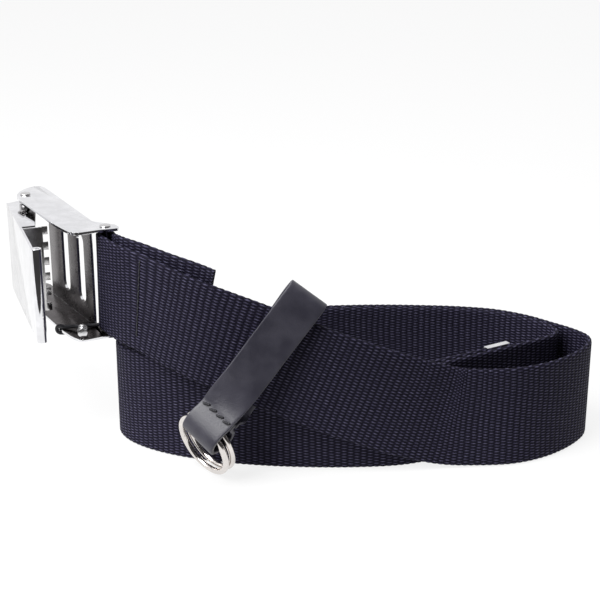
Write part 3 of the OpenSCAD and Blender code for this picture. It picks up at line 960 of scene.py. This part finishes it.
@dataclass
class Keeper:
    """The leather keeper over the strap, its stitches and the two rings in its fold."""

    width: float = 20.0
    thickness: float = 2.0
    crest: tuple = (4.0, -52.6, 92.0)
    crest_turn: tuple = (0.0, 36.0, -6.0)
    fold: tuple = (-44.3, -62.4, 27.8)
    fold_turn: tuple = (-27.0, 27.6, -37.7)
    fold_side: float = 0.5
    sew_at: float = 10.6
    layer: float = 2.5
    ring_radius: float = 15.5
    wire: float = 3.0
    ring_lean: float = 47.5
    ring_drop: float = 2.2
    ring_gap: float = 4.2
    stitch_count: int = 4
    stitch_share: float = 4.4
    thread_radius: float = 0.6

    @staticmethod
    def turned(vector: Sequence[float], degrees: Sequence[float]) -> Vector:
        """A direction after turns about x, then y, then z.

        Args:
            vector: The direction.
            degrees: The three turns.

        Returns:
            The turned direction.
        """
        turns = Euler([math.radians(a) for a in degrees], "XYZ").to_matrix()
        return turns @ Vector(vector)

    def at_crest(self, y: float, z: float) -> Vector:
        """A point measured back and down from the crest."""
        return Vector(self.crest) + self.turned((0, y, z), self.crest_turn)

    def at_fold(self, y: float, z: float, x: float = 0.0) -> Vector:
        """A point measured along, back and up from the rings' place in the fold."""
        return Vector(self.fold) + self.turned((self.fold_side + x, y, z), self.fold_turn)

    def route(self) -> SmoothLine:
        """The middle line of the leather, from its end behind to its end inside the fold."""
        mid = 2 + self.thickness / 2
        sew, layer = self.sew_at, self.layer
        across = self.turned((1, 0, 0), self.crest_turn)
        along = self.turned((1, 0, 0), self.fold_turn)
        behind = self.turned((1, 0, 0), (0, self.crest_turn[1], self.crest_turn[2] - 7))
        rows = [self.at_fold(*spot) for spot in (
            (layer + 0.2, sew - 0.9), (layer + 0.2, sew + 0.4), (layer + 0.7, sew + 1.6),
            (layer + 2, sew + 2.4), (6.8, sew + 2.5, -0.2), (9.2, sew + 2.4, -0.8),
            (11.8, sew + 2.4, -1.9), (13.9, sew + 2.6, -2.9), (15.3, sew + 3.9, -3.7),
            (15.7, sew + 5.9, -4))]
        rows += [self.at_crest(mid + 0.7, -56) + 4 * behind,
                 self.at_crest(mid + 0.4, -30) + 1.5 * across, self.at_crest(mid, -mid - 4)]
        rows += [self.at_crest(mid * math.cos(math.radians(a)), mid * math.sin(math.radians(a)) - mid)
                 for a in range(0, 181, 30)]
        rows += [self.at_crest(-mid - 0.8, -mid - 4), self.at_crest(-mid - 3.6, -26),
                 self.at_crest(-mid - 8, -50)]
        rows += [self.at_fold(*spot) for spot in (
            (-layer, sew + 2), (-layer, sew), (-layer - 0.6, sew - 2), (-5, 4.6), (-5.4, 1),
            (-4.4, -2.8), (-1, -5.4), (3, -4.6), (6.7, -1.4), (7.4, 2.2), (6.4, 5.2), (4.6, 7),
            (2.6, 7.7), (1.2, 8), (0.2, 8.7), (-0.1, sew - 1.1), (0, sew - 0.2), (0, sew + 1.4))]
        turns = [math.radians(a) for a in (0, 0, 0, 0, 10, 17.5, 21.7, 22.5, 22.5, 22.5)]
        sides = [self.turned((math.cos(a), math.sin(a), 0), self.fold_turn) for a in turns]
        sides += [behind] + [across] * 12 + [along] * 18
        return SmoothLine([row * MM + SHIFT for row in rows], sides)

    def build(self, leather: bpy.types.Material, cut: bpy.types.Material,
              thread: bpy.types.Material, nickel: bpy.types.Material) -> None:
        """Make and dress the keeper and its rings.

        Args:
            leather: The leather's faces.
            cut: The leather's cut edges.
            thread: The stitches' finish.
            nickel: The rings' finish.
        """
        line = self.route()

        def place(share: float, span: float) -> Vector:
            """The leather's middle sheet at a share of its length and of its width."""
            heading = line.heading(share)
            out = line.side(share).cross(heading).normalized()
            return line.at(share) + heading.cross(out) * (span - 0.5) * self.width * MM

        strip = Bench.grid("keeper_leather", 260, 12, place)
        Bench.apply(strip, "SOLIDIFY", thickness=self.thickness * MM, offset=0.0, material_offset_rim=1)
        Bench.apply(strip, "BEVEL", width=0.45 * MM, segments=3, limit_method="ANGLE",
                    angle_limit=math.radians(50))
        Bench.smooth(strip, 50.0)
        Bench.finish(strip, Body.KEEPER, Slot.LEATHER, [leather, cut], ["keeper_strap"])
        self._stitch(thread)
        self._rings(nickel)

    def _stitch(self, thread: bpy.types.Material) -> None:
        """Four heavy stitches across the keeper, front and back.

        Args:
            thread: The stitches' finish.
        """
        pitch = self.width / self.stitch_share
        made = []
        skin = self.layer + self.thickness / 2
        for face in (-1.0, 1.0):
            for k in range(self.stitch_count):
                middle = (k - (self.stitch_count - 1) / 2) * pitch
                rows = []
                for t, lift in ((-1.0, -0.6), (-0.8, 0.3), (0.0, 0.6), (0.8, 0.3), (1.0, -0.6)):
                    spot = self.at_fold(face * (skin + lift), self.sew_at + 0.6 * t, middle + 1.7 * t)
                    rows.append(spot * MM + SHIFT)
                path = SmoothLine(rows, per_span=6)
                made.append(Bench.tube("keeper_thread", path, self.thread_radius * MM, 20, 10))
        row = Bench.join("keeper_stitches", made)
        Bench.finish(row, Body.KEEPER, Slot.THREAD, [thread], ["keeper_stitching"])

    def _rings(self, nickel: bpy.types.Material) -> None:
        """Two wire rings through the fold.

        Args:
            nickel: The rings' finish.
        """
        base = Matrix.Translation(Vector(self.fold) * MM + SHIFT) @ Euler(
            [math.radians(a) for a in self.fold_turn], "XYZ").to_matrix().to_4x4()
        lean = Matrix.Rotation(math.radians(self.ring_lean), 4, "X")
        for name, node, body, back in (("wire_ring_front", "ring_front", Body.FRONT_RING, 0.0),
                                       ("wire_ring_back", "ring_back", Body.BACK_RING, self.ring_gap)):
            bpy.ops.object.select_all(action="DESELECT")
            bpy.ops.mesh.primitive_torus_add(major_radius=self.ring_radius * MM,
                                             minor_radius=self.wire / 2 * MM,
                                             major_segments=144, minor_segments=24)
            ring = bpy.context.object
            ring.name = ring.data.name = name
            hang = Matrix.Translation(Vector((0, back, self.ring_drop - self.ring_radius)) * MM)
            ring.data.transform(base @ lean @ hang @ Matrix.Rotation(math.radians(90), 4, "X"))
            Bench.smooth(ring, 60.0)
            Bench.finish(ring, body, Slot.RING_METAL, [nickel], [node])


@dataclass
class Studio:
    """Pale floor, soft light and the camera."""

    target: tuple = (4.55, 54.12, 50.0)
    distance: float = 760.0
    elevation: float = 20.0
    lens: float = 84.0

    def build(self) -> None:
        """Set up the camera, floor, world and lamps."""
        self._camera()
        self._floor()
        self._world()
        for name, spot, size, watts in (("key_lamp", (-0.75, -0.55, 0.7), 0.7, 10.0),
                                        ("top_lamp", (-0.32, -0.32, 1.0), 0.5, 9.0)):
            self._lamp(name, Vector(spot), size, watts)
        bpy.context.scene.view_settings.view_transform = "Standard"

    def _camera(self) -> None:
        """Place the camera at the photograph's angle."""
        rise = math.radians(self.elevation)
        target = Vector(self.target) * MM
        away = Vector((0, -math.cos(rise), math.sin(rise)))
        data = bpy.data.cameras.new("camera")
        data.lens = self.lens
        data.sensor_width = 36.0
        data.clip_start = 0.01
        camera = bpy.data.objects.new("camera", data)
        camera.location = target + away * self.distance * MM
        camera.rotation_euler = (-away).to_track_quat("-Z", "Y").to_euler()
        bpy.context.scene.collection.objects.link(camera)
        bpy.context.scene.camera = camera

    @staticmethod
    def _floor() -> None:
        """A pale floor that reads white to the camera and keeps a faint shadow."""
        bpy.ops.object.select_all(action="DESELECT")
        bpy.ops.mesh.primitive_plane_add(size=6.0, location=(0, 0, -0.0004))
        floor = bpy.context.object
        floor.name = "floor"
        for vertex in floor.data.vertices:
            vertex.co.y = max(vertex.co.y, FLOOR_FRONT)
        made = bpy.data.materials.new("pale_floor")
        shader = Shader(made)
        path = {name: shader.node("ShaderNodeLightPath", outlet=name)
                for name in ("Is Camera Ray", "Is Glossy Ray", "Is Transmission Ray")}
        seen = path["Is Camera Ray"].at_least(path["Is Glossy Ray"])
        seen = seen.at_least(path["Is Transmission Ray"])
        matt = shader.node("ShaderNodeBsdfDiffuse", {}, {"Color": (0.86, 0.86, 0.86, 1)})
        white = shader.node("ShaderNodeEmission", {}, {"Color": (1, 1, 1, 1), "Strength": 1.0})
        glow = 0.82
        mixed = shader.node("ShaderNodeMixShader", {}, {0: seen * glow, 1: matt, 2: white})
        shader.node_out("ShaderNodeOutputMaterial", mixed)
        floor.data.materials.append(made)

    @staticmethod
    def _world() -> None:
        """A white room with a dim side behind the camera, for the polished metal to show."""
        world = bpy.data.worlds.new("studio")
        bpy.context.scene.world = world
        shader = Shader(world)
        way = shader.place("Generated")
        back = shader.axis(way, "Y") + shader.axis(way, "Z") * 0.6 - shader.axis(way, "X") * 0.25
        camera = shader.node("ShaderNodeLightPath", outlet="Is Camera Ray")
        room = shader.colour(back.step(-0.2, 0.35), (0.05, 0.048, 0.048, 1), (0.95, 0.95, 0.96, 1))
        shown = shader.colour(camera, room, (1, 1, 1, 1))
        light = shader.node("ShaderNodeBackground", {}, {"Color": shown, "Strength": 1.0})
        shader.node_out("ShaderNodeOutputWorld", light)

    @staticmethod
    def _lamp(name: str, spot: Vector, size: float, watts: float) -> None:
        """Add a square soft lamp that faces the object.

        Args:
            name: The lamp's name.
            spot: Where it stands.
            size: Its side.
            watts: Its power.
        """
        data = bpy.data.lights.new(name, "AREA")
        data.size = size
        data.energy = watts
        lamp = bpy.data.objects.new(name, data)
        lamp.location = spot
        lamp.rotation_euler = (Vector((0, 0, 0.05)) - spot).to_track_quat("-Z", "Y").to_euler()
        bpy.context.scene.collection.objects.link(lamp)


def main() -> None:
    """Build every sub-assembly and the studio."""
    logging.basicConfig(level=logging.INFO, format="%(name)s %(message)s")
    chrome = MetalFinish("polished_chrome", (0.86, 0.86, 0.88, 1), 0.07).material()
    # Painted shade: the inside of the buckle's channel gets a dark, duller metal.
    dull_shaded_inside = MetalFinish("dull_inside_painted_shade", (0.12, 0.108, 0.11, 1), 0.26, 0.1, 0.3).material()
    steel = MetalFinish("plated_steel", (0.66, 0.65, 0.65, 1), 0.18, 0.08, 0.3).material()
    nickel = MetalFinish("nickel_wire", (0.80, 0.76, 0.73, 1), 0.13, 0.08).material()
    pressed = MetalFinish("pressed_metal", (0.78, 0.78, 0.79, 1), 0.16, 0.1, 0.4).material()
    thread = TwistFinish("waxed_thread", 1.0, 6.0, False).material()
    cord = TwistFinish("braided_cord", 4.0, 34.0, True).material()
    leather = LeatherFinish("black_leather").material()
    cut = LeatherFinish("leather_cut_edge", (0.05, 0.045, 0.045, 1), (0.11, 0.10, 0.10, 1),
                        2600.0).material()
    Studio().build()
    Strap().build(WovenFinish().material(), thread, pressed)
    Buckle().build(chrome, dull_shaded_inside, steel)
    Tie().build(cord, pressed)
    Keeper().build(leather, cut, thread, nickel)


if __name__ == "__main__":
    main()
